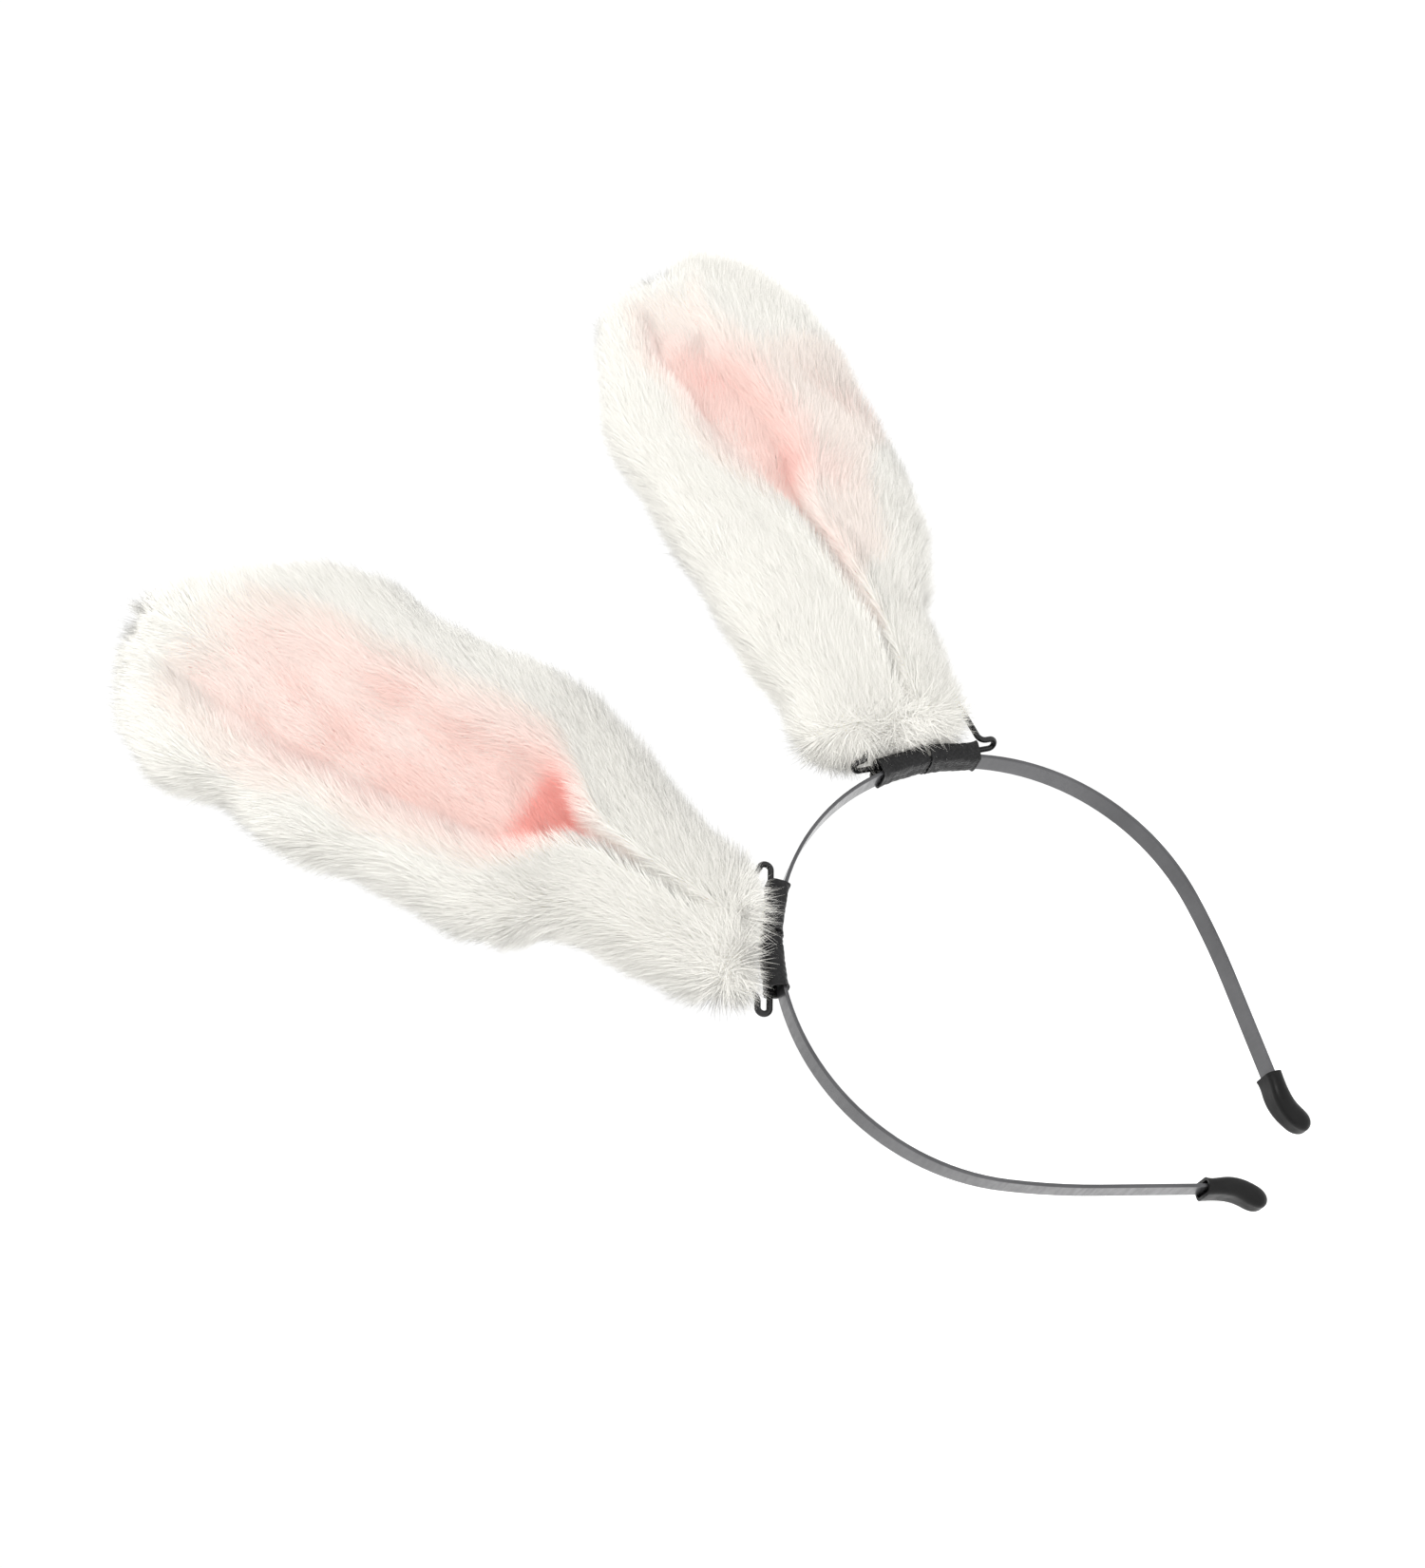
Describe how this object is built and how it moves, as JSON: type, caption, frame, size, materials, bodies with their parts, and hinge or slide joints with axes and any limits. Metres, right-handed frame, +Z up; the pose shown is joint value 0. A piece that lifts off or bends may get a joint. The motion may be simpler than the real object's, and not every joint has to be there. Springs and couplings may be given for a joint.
{
  "type": "animal ears headband",
  "caption": "Sprung steel headband with rubber caps and two long plush rabbit ears on bendable wire, held by wrapped sleeves.",
  "frame": {"origin": "on the band's inner face at the top of the crown, where the head carries it", "axes": "+Z up as worn, -Y the wearer's front (the pink faces), +X to the right as seen from the front"},
  "size_m": [0.2477, 0.0346, 0.3236],
  "materials": {
    "black_enamel": "satin",
    "black_rubber": "satin",
    "black_leatherette": "satin",
    "coated_wire": "gloss",
    "white_plush": "matte",
    "pink_plush": "matte",
    "white_thread": "matte"
  },
  "bodies": {
    "headband": {"band_strip": "black_enamel", "right_end_cap": "black_rubber", "left_end_cap": "black_rubber"},
    "right_sleeves": {"right_sleeve_outer": "black_leatherette", "right_sleeve_inner": "black_leatherette"},
    "right_ear_base": {"right_wire_lower": "coated_wire", "right_plush_lower": "white_plush", "right_lining_lower": "pink_plush", "right_base_stitches": "white_thread"},
    "right_ear_top": {"right_wire_upper": "coated_wire", "right_plush_upper": "white_plush", "right_lining_upper": "pink_plush"},
    "left_sleeves": {"left_sleeve_outer": "black_leatherette", "left_sleeve_inner": "black_leatherette"},
    "left_ear_base": {"left_wire_lower": "coated_wire", "left_plush_lower": "white_plush", "left_lining_lower": "pink_plush", "left_base_stitches": "white_thread"},
    "left_ear_top": {"left_wire_upper": "coated_wire", "left_plush_upper": "white_plush", "left_lining_upper": "pink_plush"}
  },
  "joints": [
    {"name": "right_ear_slide", "type": "hinge", "parent": "headband", "child": "right_sleeves", "pos_m": [0, 0, -0.061], "axis": [0, 1, 0], "range_deg": [-7, 25]},
    {"name": "right_ear_tilt", "type": "hinge", "parent": "right_sleeves", "child": "right_ear_base", "pos_m": [0.03882, 0, -0.01132], "axis": [0.788, 0, -0.6157], "range_deg": [-45, 60]},
    {"name": "right_ear_bend", "type": "hinge", "parent": "right_ear_base", "child": "right_ear_top", "pos_m": [0.08076, -0.00379, 0.06595], "axis": [0.8787, -0.0072, -0.4773], "range_deg": [-20, 60]},
    {"name": "left_ear_slide", "type": "hinge", "parent": "headband", "child": "left_sleeves", "pos_m": [0, 0, -0.061], "axis": [0, -1, 0], "range_deg": [-7, 25]},
    {"name": "left_ear_tilt", "type": "hinge", "parent": "left_sleeves", "child": "left_ear_base", "pos_m": [-0.03526, 0, -0.00873], "axis": [0.829, 0, 0.5592], "range_deg": [-45, 60]},
    {"name": "left_ear_bend", "type": "hinge", "parent": "left_ear_base", "child": "left_ear_top", "pos_m": [-0.05347, -0.00498, 0.07722], "axis": [0.9778, 0.0229, 0.2085], "range_deg": [-20, 60]}
  ]
}
